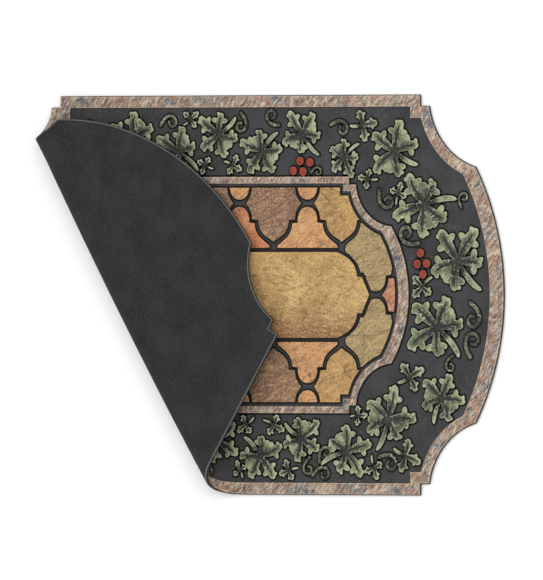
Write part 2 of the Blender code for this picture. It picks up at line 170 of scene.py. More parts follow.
# How a lobe's half width runs to its rounded end, and how near the heart two lobes part, in the
# plain outlines that decide what fits where
LOBE_SIDE = (
    # share of its length, share of its half width
    (0.36, 0.62),
    (0.64, 1.72),
    (0.92, 1.00),
)
STALK_SIDE = (
    # share of its length, share of its half width
    (0.30, 0.70),
    (0.93, 1.00),
)
VALLEY = 0.20
RIB_STEPS = 24

# How much a lobe's length varies, and how fast from leaf to leaf and from lobe to lobe
VARIETY = (0.08, 1.9, 2.3)

# Each piece is as large as its place allows, of these parts of its full size and turned one of
# these ways, the first that leaves it clear of those near it when it is grown a little
PARTS = (1.0, 0.93, 0.86, 0.79, 0.72, 0.65, 0.58)
TURNS = (0, 20, -20, 40, -40, 60, -60, 85, -85)
GROWTH = 1.05
NEAR = 122.0 * MM
TENDRIL_SHARES = (0.0, 0.25, 0.42, 0.56, 0.68, 0.78, 0.86, 0.93, 1.0)

# What fills the side of the ring that each leaf leaves free
FILLERS = (
    # place in a cycle of four, kind, along in leaf sizes, degrees of turn
    (0, "sprig", 0.34, -30),
    (1, "tendril", -0.42, 0),
    (1, "sprig", 0.55, -120),
    (2, "sprig", -0.32, -150),
    (2, "sprig", 0.32, -30),
    (3, "sprig", -0.30, 160),
    (3, "tendril", 0.40, 180),
)

# Then what fills the gaps left: how many places round the ring for each kind, the standoffs tried
# at each, and how small a piece may get
GAPS = (
    # kind, places round the ring
    ("sprig", 84),
    ("tendril", 14),
)
GAP_STANDOFFS = (-45.0 * MM, -15.0 * MM, 15.0 * MM, 45.0 * MM)
GAP_PARTS = (1.0, 0.88, 0.76, 0.66)
GAP_TURN = 2.4

# Where a bunch's berries lie, in berry spacings along the garland and across it
BUNCH_EVERY = 4
BUNCH = (
    # along, across
    (-1.1, -0.1),
    (0.0, 0.55),
    (0.0, -0.6),
    (1.1, 0.1),
)

# The finer outlines: where a lobe is widest, its root's share of that, and how round its end is
PETAL_STEPS = 16
RIBBON_FINENESS = 4
WIDEST = 0.62
ROOT_WIDTH = 0.42
END_POWER = 0.8
HEART = 0.085
STALK_WIDTH = 0.065

# Side lobes, on lobes longer than EARED_FROM
EARED_FROM = 0.40
EARS = (
    # share along the lobe, degrees out, length, half width, curl in degrees
    (0.48, 52, 0.205, 0.054, 84),
    (0.52, -50, 0.200, 0.054, -84),
    (0.80, 58, 0.120, 0.042, 70),
)

# The slits that mark each rib: half widths at heart and end in leaf sizes, their share of a lobe and
# of a stalk, and how near the heart they part and meet, in half widths
SLIT = (0.022, 0.007)
SLIT_SHARE = 0.78
STALK_SLIT_SHARE = 0.3
SLIT_PART = 2.6
SLIT_MEET = 1.5

# How a leaf's colour pales from its heart and its slits: reach of each in leaf sizes, then share
TIP_REACH = (0.5, 0.085)
TIP_SHARES = (0.45, 0.55)
TENDRIL_TIP = 0.35
TENDRIL_STEPS = 80
TENDRIL_END = 0.05
BERRY_STEPS = 28

# The fold: direction across it, where it leaves the floor, its loop, lean and rest
FOLD_ANGLE = radians(31.0)
FOLD_START = -143.0 * MM
FOLD_BOW = 6.0 * MM
FOLD_REACH = 330.0 * MM
NEUTRAL = 2.0 * MM
LOOP_RADIUS = 26.0 * MM
LEAN = radians(10.0)
SETTLE_RADIUS = 150.0 * MM
REST_HEIGHT = 13.2 * MM

# Mesh sizes: along outlines, and inside each kind of piece
OUTLINE_STEP = 1.3 * MM
TILE_STEP = 1.65 * MM
PLAQUE_STEP = 2.2 * MM
PLAIN_STEP = radians(7.5)
SHOULDERS = (0.35 * MM, 0.9 * MM, 1.6 * MM)
SHEET_SHOULDERS = (0.4 * MM, 1.0 * MM)
LEAF_GRAIN = 1.8 * MM
BERRY_GRAIN = 1.2 * MM
TILE_GRAIN = 2.4 * MM
PANEL_GRAIN = 3.0 * MM
SHEET_GRAIN = 5.5 * MM
LOOP_GRAIN = 3.0 * MM
BAND_GRAIN = 2.2 * MM
BAND_GAP = 0.6 * MM
SHEET_SPAN = 0.6

# How near inner points may come to the rows beside an edge, in depths of the row and in grains
ROW_CLEARANCE = 0.93
GRAIN_CLEARANCE = 0.45

# How long an edge has to be beside its neighbour's, and how sharp a bend, to stay a corner
LONG_EDGE = 4
SHARP = radians(35)
CURVE_STEPS = 5

# How many points are tested at once, and what counts as nothing
CHUNK = 2000
TINY = 1e-12
MESH_TOLERANCE = 1e-8
CLIP_TOLERANCE = 1e-7

# Tile colours, and which one stands in each column and row from the middle, mauve where none is given
TILE_COLOURS = {
    "mauve": (120, 90, 73),
    "peach": (188, 137, 92),
    "ochre": (166, 130, 78),
    "rose": (172, 114, 88),
    "olive": (148, 130, 90),
    "orange": (180, 108, 72),
}
TILE_TONES = {
    # (column, row): colour
    (0, 1): "orange", (0, 3): "peach",
    (2, 1): "peach", (2, 3): "peach",
    (3, 0): "ochre", (3, 2): "ochre",
    (4, 1): "olive", (4, 3): "peach",
    (5, 0): "rose",
}
TILE_SEED = (1.7, 2.9)
SLIVER = 60 * MM * MM

# Sizes that several materials share: specks, and how far in a painted highlight along a rounded edge is
# placed
SPECK_SIZE = 2.6 * MM
RIM_DEPTH = 3.0 * MM

# The studio
LAMPS = {
    # name: place, size, power
    "key": ((1.5, 0.5, 2.3), 2.0, 36.0),
    "fill": ((-0.9, 0.6, 2.2), 2.0, 6.0),
}
SURROUNDINGS = 0.8
FLOOR_SIZE = 12.0
FLOOR_GAP = 0.5 * MM

# The camera, which looks down from the end that lies flat, so that lengths look shorter
FORESHORTENING = 0.8422
CAMERA_ELEVATION = asin(FORESHORTENING)
PIXELS_PER_METRE = 683.8
FRAME_HEIGHT = 580
AIM = Vector((0.0524, 0.0072, 0.0))
LENS = 1500.0
SENSOR = 36.0


# Fold

def lean_length():
    """How far the flap runs straight down from the loop before it settles."""
    top = NEUTRAL + LOOP_RADIUS * (1 + cos(LEAN))
    return (top - REST_HEIGHT - SETTLE_RADIUS * (1 - cos(LEAN))) / sin(LEAN)


# Length and curvature of each stretch of the fold's section, from the floor on
SECTION = (
    (LOOP_RADIUS * (pi + LEAN), 1 / LOOP_RADIUS),
    (lean_length(), 0.0),
    (SETTLE_RADIUS * LEAN, -1 / SETTLE_RADIUS),
    (inf, 0.0),
)


def across_fold(points):
    """Flat coordinates across the fold and along it."""
    x, y = points[:, 0], points[:, 1]
    return x * cos(FOLD_ANGLE) + y * sin(FOLD_ANGLE), y * cos(FOLD_ANGLE) - x * sin(FOLD_ANGLE)


def from_fold(across, along):
    """Flat x and y of coordinates across the fold and along it."""
    return (across * cos(FOLD_ANGLE) - along * sin(FOLD_ANGLE),
            across * sin(FOLD_ANGLE) + along * cos(FOLD_ANGLE))


def bow(along):
    """How far the fold's line swings out, most at its middle."""
    return -FOLD_BOW * np.clip(1 - (along / FOLD_REACH) ** 2, 0, None)


def folded(points):
    """Where points of the flat mat go."""
    across, along = across_fold(points)
    left = np.clip(FOLD_START - (across - bow(along)), 0, None)
    bent = left > 0
    place = np.where(bent, FOLD_START + bow(along), across)
    height = np.full(len(points), NEUTRAL)
    turn = np.zeros(len(points))
    for length, curvature in SECTION:
        step = np.minimum(left, length)
        ahead = turn + curvature * step
        if curvature:
            place = place - (np.sin(ahead) - np.sin(turn)) / curvature
            height = height - (np.cos(ahead) - np.cos(turn)) / curvature
        else:
            place = place - step * np.cos(turn)
            height = height + step * np.sin(turn)
        turn = ahead
        left = left - step
    proud = points[:, 2] - NEUTRAL
    place = place + proud * np.sin(turn)
    height = height + proud * np.cos(turn)
    return np.column_stack((*from_fold(place, along), height))


# Outlines

def arc(centre, radius, start, end, steps):
    angles = np.linspace(start, end, steps + 1)[:-1]
    return np.column_stack((centre[0] + radius * np.cos(angles), centre[1] + radius * np.sin(angles)))


def line(start, end, steps):
    share = np.linspace(0, 1, steps + 1)[:-1, None]
    return np.asarray(start) * (1 - share) + np.asarray(end) * share


def plaque(shape, side=0.0, end=0.0, plain=False):
    """The plaque's outline, drawn in by side and, at the bowed ends, by end; always as many points,
    and few of them if it is plain."""
    bow_radius = shape["end_radius"] - end
    bow_x = shape["length"] - shape["end_radius"]
    hollow = shape["hollow_radius"] + side
    hx, hy = shape["hollow"]
    top, ledge, notch = (shape[key] - side for key in ("width", "ledge", "notch"))
    gap = hypot(hx - bow_x, hy)
    along = (bow_radius**2 - hollow**2 + gap**2) / (2 * gap)
    off = sqrt(bow_radius**2 - along**2)
    corner = (bow_x + (along * (hx - bow_x) + off * hy) / gap, (along * hy - off * (hx - bow_x)) / gap)
    ledge_x = hx - sqrt(hollow**2 - (ledge - hy) ** 2)
    start = atan2(corner[1] - hy, corner[0] - hx) % (2 * pi)
    finish = atan2(ledge - hy, ledge_x - hx) % (2 * pi)
    # Rough lengths of its stretches, the same for every inset, so that insets join point to point
    lengths = (shape["width"] * 0.7, shape["hollow_radius"] * 1.2, shape["hollow_radius"] * 0.2,
               shape["width"] - shape["ledge"], shape["notch"])
    steps = [max(2, round(length / PLAQUE_STEP)) for length in lengths]
    bowed = atan2(corner[1], corner[0] - bow_x)
    if plain:
        curves = (bowed, finish - start)
        steps = [max(2, round(abs(angle) / PLAIN_STEP)) for angle in curves] + [1, 1, 1]
    quarter = np.vstack((
        arc((bow_x, 0.0), bow_radius, 0.0, bowed, steps[0]),
        arc((hx, hy), hollow, start, finish, steps[1]),
        line((ledge_x, ledge), (notch, ledge), steps[2]),
        line((notch, ledge), (notch, top), steps[3]),
        line((notch, top), (0.0, top), steps[4]),
        [(0.0, top)],
    ))
    upper = np.vstack((quarter, quarter[-2::-1] * (-1, 1)))
    return np.vstack((upper, upper[-2:0:-1] * (1, -1)))


def resampled(loop, step):
    """A loop with its long edges split, so that its points are about a step apart."""
    parts = []
    for here, there in zip(loop, np.roll(loop, -1, axis=0)):
        parts.append(line(here, there, max(1, round(float(np.linalg.norm(there - here)) / step))))
    return np.vstack(parts)


def within(points, loops):
    """Which points lie inside an odd number of the loops."""
    start = np.vstack(loops)
    end = np.vstack([np.roll(loop, -1, axis=0) for loop in loops])
    result = np.zeros(len(points), bool)
    way = end - start
    slope = way[:, 0] / np.where(way[:, 1] == 0, TINY, way[:, 1])
    for first in range(0, len(points), CHUNK):
        x, y = points[first:first + CHUNK, 0, None], points[first:first + CHUNK, 1, None]
        beside = (start[:, 1] > y) != (end[:, 1] > y)
        crossing = beside & (x < start[:, 0] + slope * (y - start[:, 1]))
        result[first:first + CHUNK] = crossing.sum(axis=1) % 2 == 1
    return result


def from_edge(points, loops):
    """How far each point is from the nearest loop."""
    start = np.vstack(loops)
    way = np.vstack([np.roll(loop, -1, axis=0) for loop in loops]) - start
    size = np.maximum((way**2).sum(axis=1), TINY**2)
    result = np.zeros(len(points))
    for first in range(0, len(points), CHUNK):
        to = points[first:first + CHUNK, None] - start
        share = np.clip((to * way).sum(axis=2) / size, 0, 1)
        off = to - share[..., None] * way
        result[first:first + CHUNK] = np.sqrt((off**2).sum(axis=2).min(axis=1))
    return result


def area(loop):
    """A loop's signed area, positive when it runs counterclockwise."""
    after = np.roll(loop, -1, axis=0)
    return float((loop[:, 0] * after[:, 1] - after[:, 0] * loop[:, 1]).sum() / 2)


def outward(way):
    """Unit vectors to the right of each way, so out of a counterclockwise loop."""
    return np.column_stack((way[:, 1], -way[:, 0])) / np.linalg.norm(way, axis=1)[:, None]


def normals(loop):
    """Unit vectors out of a counterclockwise loop at its points."""
    return outward(np.roll(loop, -1, axis=0) - np.roll(loop, 1, axis=0))


# Meshing of flat regions

def lattice(low, high, step):
    """A triangular lattice of points over a box."""
    rows = np.arange(low[1], high[1], step * sqrt(0.75))
    columns = np.arange(low[0], high[0], step)
    grid = [np.column_stack((columns + (0.5 * step if i % 2 else 0.0), np.full(len(columns), y)))
            for i, y in enumerate(rows)]
    return np.vstack(grid)


def inset_points(loops, depth):
    """Points at a depth inside the region's edge, beside the loops' own points."""
    points = np.vstack([loop + side * depth * normals(loop) for loop in loops for side in (-1, 1)])
    points = points[within(points, loops)]
    return points[from_edge(points, loops) > ROW_CLEARANCE * depth]


def triangulated(points, loops):
    """Triangles between the points, inside the loops, whose own points come first."""
    edges = []
    first = 0
    for loop in loops:
        edges += [(first + i, first + (i + 1) % len(loop)) for i in range(len(loop))]
        first += len(loop)
    corners = [Vector(point) for point in points.tolist()]
    found, _, faces, *_ = delaunay_2d_cdt(corners, edges, [], 0, MESH_TOLERANCE)
    found = np.array([tuple(p) for p in found])
    faces = np.array([face for face in faces if len(face) == 3])
    return found, faces[within(found[faces].mean(axis=1), loops)]


def region(loops, grain, shoulders=SHOULDERS, extra=None):
    """Points, triangles and each point's distance from the edge, for a flat region with holes."""
    edge = np.vstack(loops)
    parts = [edge] + [inset_points(loops, depth) for depth in shoulders]
    inner = lattice(edge.min(axis=0), edge.max(axis=0), grain) if extra is None else extra
    inner = inner[within(inner, loops)]
    parts.append(inner[from_edge(inner, loops) > shoulders[-1] + GRAIN_CLEARANCE * grain])
    points, faces = triangulated(np.vstack(parts), loops)
    return points, faces, from_edge(points, loops)


class Relief:
    """Gathers flat pieces of relief, then makes one mesh object of them, bent along the fold."""

    def __init__(self):
        self.points, self.faces, self.marks = [], [], []
        self.count = 0

    def add(self, points, faces, **marks):
        """Points in the flat mat, faces, and the marks that the materials read."""
        size = len(points)
        self.points.append(points)
        self.faces += [[index + self.count for index in face] for face in faces]
        self.marks.append({name: np.broadcast_to(value, size) for name, value in marks.items()})
        self.count += size

    def add_region(self, loops, grain, rise, swell, reach, **marks):
        """A closed piece with the region's outline, its top rounded at its edge and swelling inwards."""
        points, faces, edge = region(loops, grain)
        bottom_points, bottom_faces = triangulated(np.vstack(loops), loops)
        size, rim = len(points), len(bottom_points)
        share = np.clip(edge / reach, 0, 1)
        height = BASE + shoulder(edge, rise) + swell * share * share * (3 - 2 * share)
        upper = np.column_stack((points, height))
        lower = np.column_stack((bottom_points, np.full(rim, BASE - ROOT)))
        sides = []
        first = 0
        for loop in loops:
            count = len(loop)
            turned = area(loop) > 0
            outer = first == 0
            for i in range(count):
                a, b = first + i, first + (i + 1) % count
                if turned == outer:
                    a, b = b, a
                sides.append((a, b, size + b, size + a))
            first += count
        whole = {"edge": np.concatenate((edge, np.zeros(rim)))}
        for name, value in marks.items():
            value = np.broadcast_to(value(points) if callable(value) else value, size)
            whole[name] = np.concatenate((value, value[:rim]))
        tops, bottoms = turned_up(points, faces), turned_down(bottom_points, bottom_faces, size)
        self.add(np.vstack((upper, lower)), tops + bottoms + sides, **whole)

    def build(self, name, slot, *materials):
        flat = np.vstack(self.points)
        mesh = bpy.data.meshes.new(name)
        mesh.from_pydata(folded(flat).tolist(), [], self.faces)
        mark = mesh.attributes.new("flat", "FLOAT_VECTOR", "POINT")
        mark.data.foreach_set("vector", flat.astype(np.float32).ravel())
        for key in self.marks[0]:
            values = np.concatenate([part[key] for part in self.marks])
            mark = mesh.attributes.new(key, "FLOAT", "POINT")
            mark.data.foreach_set("value", values.astype(np.float32))
        for material in materials:
            mesh.materials.append(material)
        mesh.shade_smooth()
        mesh.validate()
        piece = bpy.data.objects.new(name, mesh)
        bpy.context.scene.collection.objects.link(piece)
        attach(piece, "root")
        return piece


def turned_up(points, faces):
    """The faces, each counterclockwise."""
    a, b, c = (points[faces[:, i]] for i in range(3))
    up = (b[:, 0] - a[:, 0]) * (c[:, 1] - a[:, 1]) - (b[:, 1] - a[:, 1]) * (c[:, 0] - a[:, 0]) > 0
    return [tuple(face) if way else tuple(face[::-1]) for face, way in zip(faces.tolist(), up)]


def turned_down(points, faces, first):
    """The faces, each clockwise, with their points counted from first."""
    return [tuple(first + i for i in reversed(face)) for face in turned_up(points, faces)]


def rounded(edge, width):
    """A quarter circle's height over its width, from 0 at the edge to 1."""
    return np.sqrt(1 - (1 - np.clip(edge / width, 0, 1)) ** 2)


def shoulder(edge, rise):
    """Height above the base of a moulded edge that rises steeply and rounds over."""
    return rise * (UPRIGHT + (1 - UPRIGHT) * rounded(edge, ROUNDING))


# Materials, with colours as 0 to 255 display values and a ramp's stops as position and colour

def linear(red, green, blue):
    """A display colour as the shader's own."""
    parts = [value / 255 for value in (red, green, blue)]
    return tuple(p / 12.92 if p <= 0.04045 else ((p + 0.055) / 1.055) ** 2.4 for p in parts) + (1.0,)


class Shader:
    """A material's nodes, with short ways to add and link them."""

    def __init__(self, name, roughness):
        self.material = bpy.data.materials.new(name)
        self.material.use_nodes = True
        self.nodes = self.material.node_tree.nodes
        self.links = self.material.node_tree.links
        self.surface = self.nodes["Principled BSDF"]
        self.surface.inputs["Roughness"].default_value = roughness
        self.surface.inputs["Specular IOR Level"].default_value = 0.3

    def node(self, kind, inputs=(), **settings):
        made = self.nodes.new(kind)
        for key, value in settings.items():
            setattr(made, key, value)
        for key, value in dict(inputs).items():
            self.feed(made.inputs[key], value)
        return made

    def feed(self, socket, value):
        if isinstance(value, bpy.types.NodeSocket):
            self.links.new(value, socket)
        else:
            socket.default_value = value

    def mark(self, name):
        """A value stored on the mesh's points."""
        made = self.node("ShaderNodeAttribute", attribute_name=name, attribute_type="GEOMETRY")
        return made.outputs["Vector" if name == "flat" else "Fac"]

    def edge(self, depth):
        """How far in from the piece's edge, as a share of depth."""
        return self.math("DIVIDE", self.mark("edge"), depth)

    def place(self, scale=(1.0, 1.0, 1.0), turn=0.0, shift=None):
        """Places on the flat mat, turned by degrees and scaled for a texture."""
        source = self.mark("flat")
        if shift is not None:
            offset = self.node("ShaderNodeCombineXYZ", {"X": shift, "Y": shift, "Z": shift}).outputs[0]
            source = self.node("ShaderNodeVectorMath", {0: source, 1: offset}, operation="ADD").outputs[0]
        mapping = self.node("ShaderNodeMapping", {"Vector": source, "Rotation": (0.0, 0.0, radians(turn)),
                                                  "Scale": scale}, vector_type="TEXTURE")
        return mapping.outputs[0]

    def noise(self, size, detail=4.0, roughness=0.55, distortion=0.0, **where):
        """Noise with features about size across."""
        return self.node("ShaderNodeTexNoise", {
            "Vector": self.place(**where), "Scale": 1 / size, "Detail": detail, "Roughness": roughness,
            "Distortion": distortion}).outputs["Fac"]

    def strokes(self, length, width, turn, detail=5.0, roughness=0.75, shift=None):
        """Noise drawn out into strokes."""
        return self.noise(1.0, detail, roughness, 0.6, scale=(length, width, length), turn=turn, shift=shift)

    def cracks(self, size, **where):
        """Distance from the lines of a network about size across."""
        return self.node("ShaderNodeTexVoronoi", {"Vector": self.place(**where), "Scale": 1 / size},
                         feature="DISTANCE_TO_EDGE").outputs["Distance"]

    def ramp(self, value, *stops, interpolation="LINEAR"):
        """A colour or, from plain numbers, a grey, at each position along value."""
        made = self.node("ShaderNodeValToRGB", {"Fac": value})
        band = made.color_ramp
        band.interpolation = interpolation
        while len(band.elements) < len(stops):
            band.elements.new(1.0)
        for element, (position, colour) in zip(band.elements, stops):
            element.position = position
            element.color = linear(*colour) if isinstance(colour, tuple) else (colour, colour, colour, 1.0)
        return made.outputs["Color"]

    def mix(self, share, low, high):
        """From one colour to the other, by share."""
        made = self.node("ShaderNodeMix", {"Factor": share}, data_type="RGBA")
        for socket, colour in zip((made.inputs[6], made.inputs[7]), (low, high)):
            self.feed(socket, linear(*colour) if isinstance(colour, tuple) else colour)
        return made.outputs[2]

    def fade(self, colour, value, start, full, shade, strength):
        """The colour turned to shade, not at all where value is start and by strength where it is full."""
        return self.mix(self.ramp(value, *sorted([(start, 0.0), (full, strength)])), colour, shade)

    def math(self, operation, first, second):
        return self.node("ShaderNodeMath", {0: first, 1: second}, operation=operation).outputs[0]

    def bump(self, height, distance):
        made = self.node("ShaderNodeBump", {"Height": height, "Distance": distance, "Strength": 1.0})
        self.links.new(made.outputs[0], self.surface.inputs["Normal"])

    def paint(self, colour, roughness=None):
        self.feed(self.surface.inputs["Base Color"], colour)
        if roughness is not None:
            self.feed(self.surface.inputs["Roughness"], roughness)
        return self.material


def foot_shaded(s, colour):
    """The colour, darkened with painted shade where a piece meets the base."""
    return s.fade(colour, s.edge(MM), 0.5, 0.0, (42, 39, 37), 1.0)


def rim_highlight(s, start, peak, end, strength):
    """How much of a painted highlight along a piece's rounded edge shows, with places in from the edge in
    parts of RIM_DEPTH.
    """
    return s.ramp(s.edge(RIM_DEPTH), (start, 0.0), (peak, strength), (end, 0.0))


def speckled(s, colour, size, light, dark, strength):
    """The colour with light and dark specks about size across, and the noise that they come from."""
    speck = s.noise(size, 3, 0.75)
    lit = s.fade(colour, speck, 0.52, 0.68, light, strength)
    return s.fade(lit, speck, 0.48, 0.32, dark, strength), speck


def cracked(s, colour, size, turn, dark):
    """The colour with some broken dark lines of a network about size across."""
    wander = s.math("MULTIPLY", s.noise(9 * MM, 3), 0.02)
    lines = s.math("ADD", s.cracks(size, scale=(1.5, 0.7, 1.0), turn=turn), wander)
    broken = s.ramp(s.noise(26 * MM, 3, shift=0.8), (0.46, 0.0), (0.56, 1.0))
    return s.mix(s.math("MULTIPLY", s.ramp(lines, (0.008, 0.9), (0.03, 0.0)), broken), colour, dark)


def stroked(s, colour, turn, light, dark):
    """The colour with slanting strokes, lighter and darker."""
    stroke = s.strokes(15 * MM, 3.6 * MM, turn)
    lit = s.fade(colour, stroke, 0.52, 0.64, light, 0.45)
    return s.fade(lit, stroke, 0.48, 0.36, dark, 0.6)


def weathered_and_foot_shaded(s, colour, cloud, strokes, cracks, specks):
    """What tiles and panel share: strokes, cracks and then specks on a clouded colour, and painted shade at
    the foot.
    """
    mottled, speck = speckled(s, cracked(s, stroked(s, colour, *strokes), *cracks), SPECK_SIZE, *specks)
    s.bump(s.math("ADD", cloud, speck), 0.7 * MM)
    # Painted shade where the piece meets the base
    return s.paint(foot_shaded(s, mottled), s.ramp(speck, (0.3, 0.85), (0.7, 0.65)))


def foot_shade_flock():
    s = Shader("foot_shade_flock", 0.95)
    # Painted shade: near black beside a raised piece, paling to grey across the strip
    return s.paint(s.ramp(s.mark("edge"), (0.75, (14, 14, 14)), (1.0, (42, 42, 43))))


def ground_flock():
    s = Shader("ground_flock", 0.95)
    base = s.ramp(s.noise(45 * MM, 3), (0.3, (50, 50, 51)), (0.7, (66, 66, 68)))
    grain = s.fade(base, s.noise(3.4 * MM, 3, 0.7), 0.6, 0.35, (44, 44, 45), 0.35)
    flecked = s.fade(grain, s.noise(SPECK_SIZE, 2, shift=0.4), 0.66, 0.76, (132, 132, 130), 0.6)
    s.bump(s.noise(0.7 * MM, 2), 0.3 * MM)
    return s.paint(flecked)


def plain_rubber():
    s = Shader("plain_rubber", 0.85)
    base = s.ramp(s.noise(42 * MM, 5, 0.6), (0.36, (27, 27, 28)), (0.64, (43, 43, 44)))
    grain = s.noise(1.7 * MM, 2, 0.7)
    dark = s.fade(base, grain, 0.50, 0.36, (14, 14, 15), 0.8)
    grained = s.fade(dark, grain, 0.52, 0.68, (62, 62, 62), 0.8)
    # Painted highlight: a pale line along the edge of the rubber back
    edge_highlit = s.fade(grained, s.edge(2 * MM), 0.4, 0.2, (112, 110, 106), 0.75)
    s.bump(grain, 0.25 * MM)
    return s.paint(edge_highlit, s.ramp(grain, (0.3, 0.92), (0.8, 0.78)))


def streaked_stone():
    s = Shader("streaked_stone", 0.8)
    tone = s.ramp(s.noise(40 * MM, 4, 0.6, 0.8), (0.36, (78, 88, 102)), (0.44, (140, 128, 114)),
                  (0.50, (148, 110, 88)), (0.56, (118, 96, 94)), (0.64, (170, 154, 124)))
    streak = s.strokes(12 * MM, 3.6 * MM, 52, 6, 0.8)
    light = s.fade(tone, streak, 0.50, 0.59, (208, 194, 170), 0.8)
    dark = s.fade(light, streak, 0.49, 0.39, (66, 62, 64), 0.9)
    rust = s.strokes(12 * MM, 5 * MM, 40, shift=0.37)
    warm = s.fade(dark, rust, 0.53, 0.62, (156, 96, 68), 0.55)
    slate = s.strokes(12 * MM, 4 * MM, 60, shift=1.7)
    cool = s.fade(warm, slate, 0.53, 0.62, (94, 106, 122), 0.6)
    mottled, speck = speckled(s, cool, SPECK_SIZE, (212, 196, 170), (66, 62, 62), 0.35)
    # Painted highlight: a pale line along the band's rounded edge, then painted shade at its foot
    rim_highlit = s.mix(rim_highlight(s, 0.22, 0.4, 0.6, 0.45), mottled, (208, 194, 168))
    s.bump(s.math("ADD", streak, speck), 0.6 * MM)
    return s.paint(foot_shaded(s, rim_highlit), s.ramp(streak, (0.3, 0.9), (0.7, 0.7)))


def mottled_tile():
    s = Shader("mottled_tile", 0.75)
    stops = [(i / len(TILE_COLOURS), colour) for i, colour in enumerate(TILE_COLOURS.values())]
    tones = s.ramp(s.mark("tone"), *stops, interpolation="CONSTANT")
    cloud = s.noise(26 * MM, 5, 0.65, 0.5, shift=s.mark("seed"))
    light = s.fade(tones, cloud, 0.52, 0.72, (214, 176, 122), 0.35)
    dark = s.fade(light, cloud, 0.46, 0.3, (104, 74, 60), 0.55)
    return weathered_and_foot_shaded(s, dark, cloud, strokes=(24, (214, 178, 128), (98, 70, 56)),
                     cracks=(42 * MM, 25, (66, 42, 34)), specks=((226, 196, 150), (92, 66, 52), 0.42))


def ochre_stone():
    s = Shader("ochre_stone", 0.75)
    cloud = s.noise(60 * MM, 6, 0.65, 0.4)
    base = s.ramp(cloud, (0.3, (150, 114, 70)), (0.5, (180, 146, 92)), (0.7, (194, 166, 110)))
    across = s.node("ShaderNodeSeparateXYZ", {"Vector": s.mark("flat")}).outputs["Y"]
    low = s.math("ADD", s.math("DIVIDE", across, 120 * MM), s.math("MULTIPLY", cloud, 0.9))
    browned = s.fade(base, low, 0.55, 0.05, (126, 88, 56), 0.9)
    return weathered_and_foot_shaded(s, browned, cloud, strokes=(-14, (212, 184, 130), (112, 80, 50)),
                     cracks=(44 * MM, 20, (82, 50, 34)), specks=((222, 196, 146), (100, 70, 44), 0.5))


def sage_flock():
    s = Shader("sage_flock", 0.9)
    cloud = s.math("MULTIPLY", s.math("SUBTRACT", s.noise(20 * MM, 3), 0.5), 1.5)
    base = s.ramp(s.math("ADD", s.mark("tip"), cloud), (0.12, (34, 36, 30)), (0.40, (66, 70, 56)),
                  (0.68, (100, 106, 80)), (0.98, (144, 152, 118)))
    mottled, speck = speckled(s, base, 2.4 * MM, (176, 182, 152), (46, 50, 38), 0.5)
    vein = s.ramp(s.cracks(11 * MM, scale=(1.0, 1.3, 1.0)), (0.0, 0.7), (0.06, 0.0))
    broken = s.ramp(s.noise(16 * MM, 2, shift=0.3), (0.46, 0.0), (0.56, 1.0))
    veined = s.mix(s.math("MULTIPLY", vein, broken), mottled, (188, 194, 170))
    # Painted highlight along the leaf's outline, kept off the heart and the slits; painted shade at its foot
    # below
    outer = s.ramp(s.mark("tip"), (0.4, 0.0), (0.65, 1.0))
    rim = s.math("MULTIPLY", rim_highlight(s, 0.14, 0.30, 0.50, 0.8), outer)
    s.bump(speck, 0.6 * MM)
    return s.paint(foot_shaded(s, s.mix(rim, veined, (184, 192, 162))))


def berry_flock():
    s = Shader("berry_flock", 0.8)
    base = s.ramp(s.noise(7 * MM, 3, 0.6), (0.3, (106, 38, 27)), (0.7, (144, 58, 40)))
    mottled, speck = speckled(s, base, 2.2 * MM, (196, 112, 86), (84, 28, 20), 0.4)
    s.bump(speck, 0.4 * MM)
    # Painted highlight: a pale ring along the berry's rounded edge; painted shade at its foot
    return s.paint(foot_shaded(s, s.mix(rim_highlight(s, 0.2, 0.38, 0.6, 0.4), mottled, (198, 118, 92))))


# Pieces

def make_sheet():
    """The base: flocked ground on its face, plain rubber on its back and rim."""
    outline = plaque(MAT)
    loop_end = FOLD_START - SECTION[0][0] - LOOP_GRAIN
    across = np.concatenate((
        np.arange(-SHEET_SPAN, loop_end, SHEET_GRAIN),
        np.arange(loop_end, FOLD_START + 3 * LOOP_GRAIN, LOOP_GRAIN),
        np.arange(FOLD_START + 4 * LOOP_GRAIN, SHEET_SPAN, SHEET_GRAIN),
    ))
    along = np.arange(-SHEET_SPAN, SHEET_SPAN, SHEET_GRAIN)
    inner = np.column_stack(from_fold(*(grid.ravel() for grid in np.meshgrid(across, along))))
    points, faces, edge = region([outline], SHEET_GRAIN, SHEET_SHOULDERS, inner)
    under, under_faces, under_edge = region([plaque(MAT, TUCK, TUCK)], SHEET_GRAIN, SHEET_SHOULDERS, inner)
    size, rim = len(points), len(outline)
    upper = np.column_stack((points, BASE - SHEET_DROP * (1 - rounded(edge, SHEET_ROUNDING))))
    drop = UNDER_SHARE * SHEET_DROP * (1 - rounded(under_edge, SHEET_ROUNDING))
    lower = np.column_stack((under, drop))
    tops, bottoms = turned_up(points, faces), turned_down(under, under_faces, size)
    sides = [((i + 1) % rim, i, size + i, size + (i + 1) % rim) for i in range(rim)]
    relief = Relief()
    relief.add(np.vstack((upper, lower)), tops + bottoms + sides,
               edge=np.concatenate((edge + ROUNDING, under_edge)))
    sheet = relief.build("mat_sheet", "black_rubber", ground_flock(), plain_rubber())
    slots = np.concatenate((np.zeros(len(tops)), np.ones(len(bottoms) + len(sides)))).astype(np.int32)
    sheet.data.polygons.foreach_set("material_index", slots)
    return sheet, abs(area(outline))


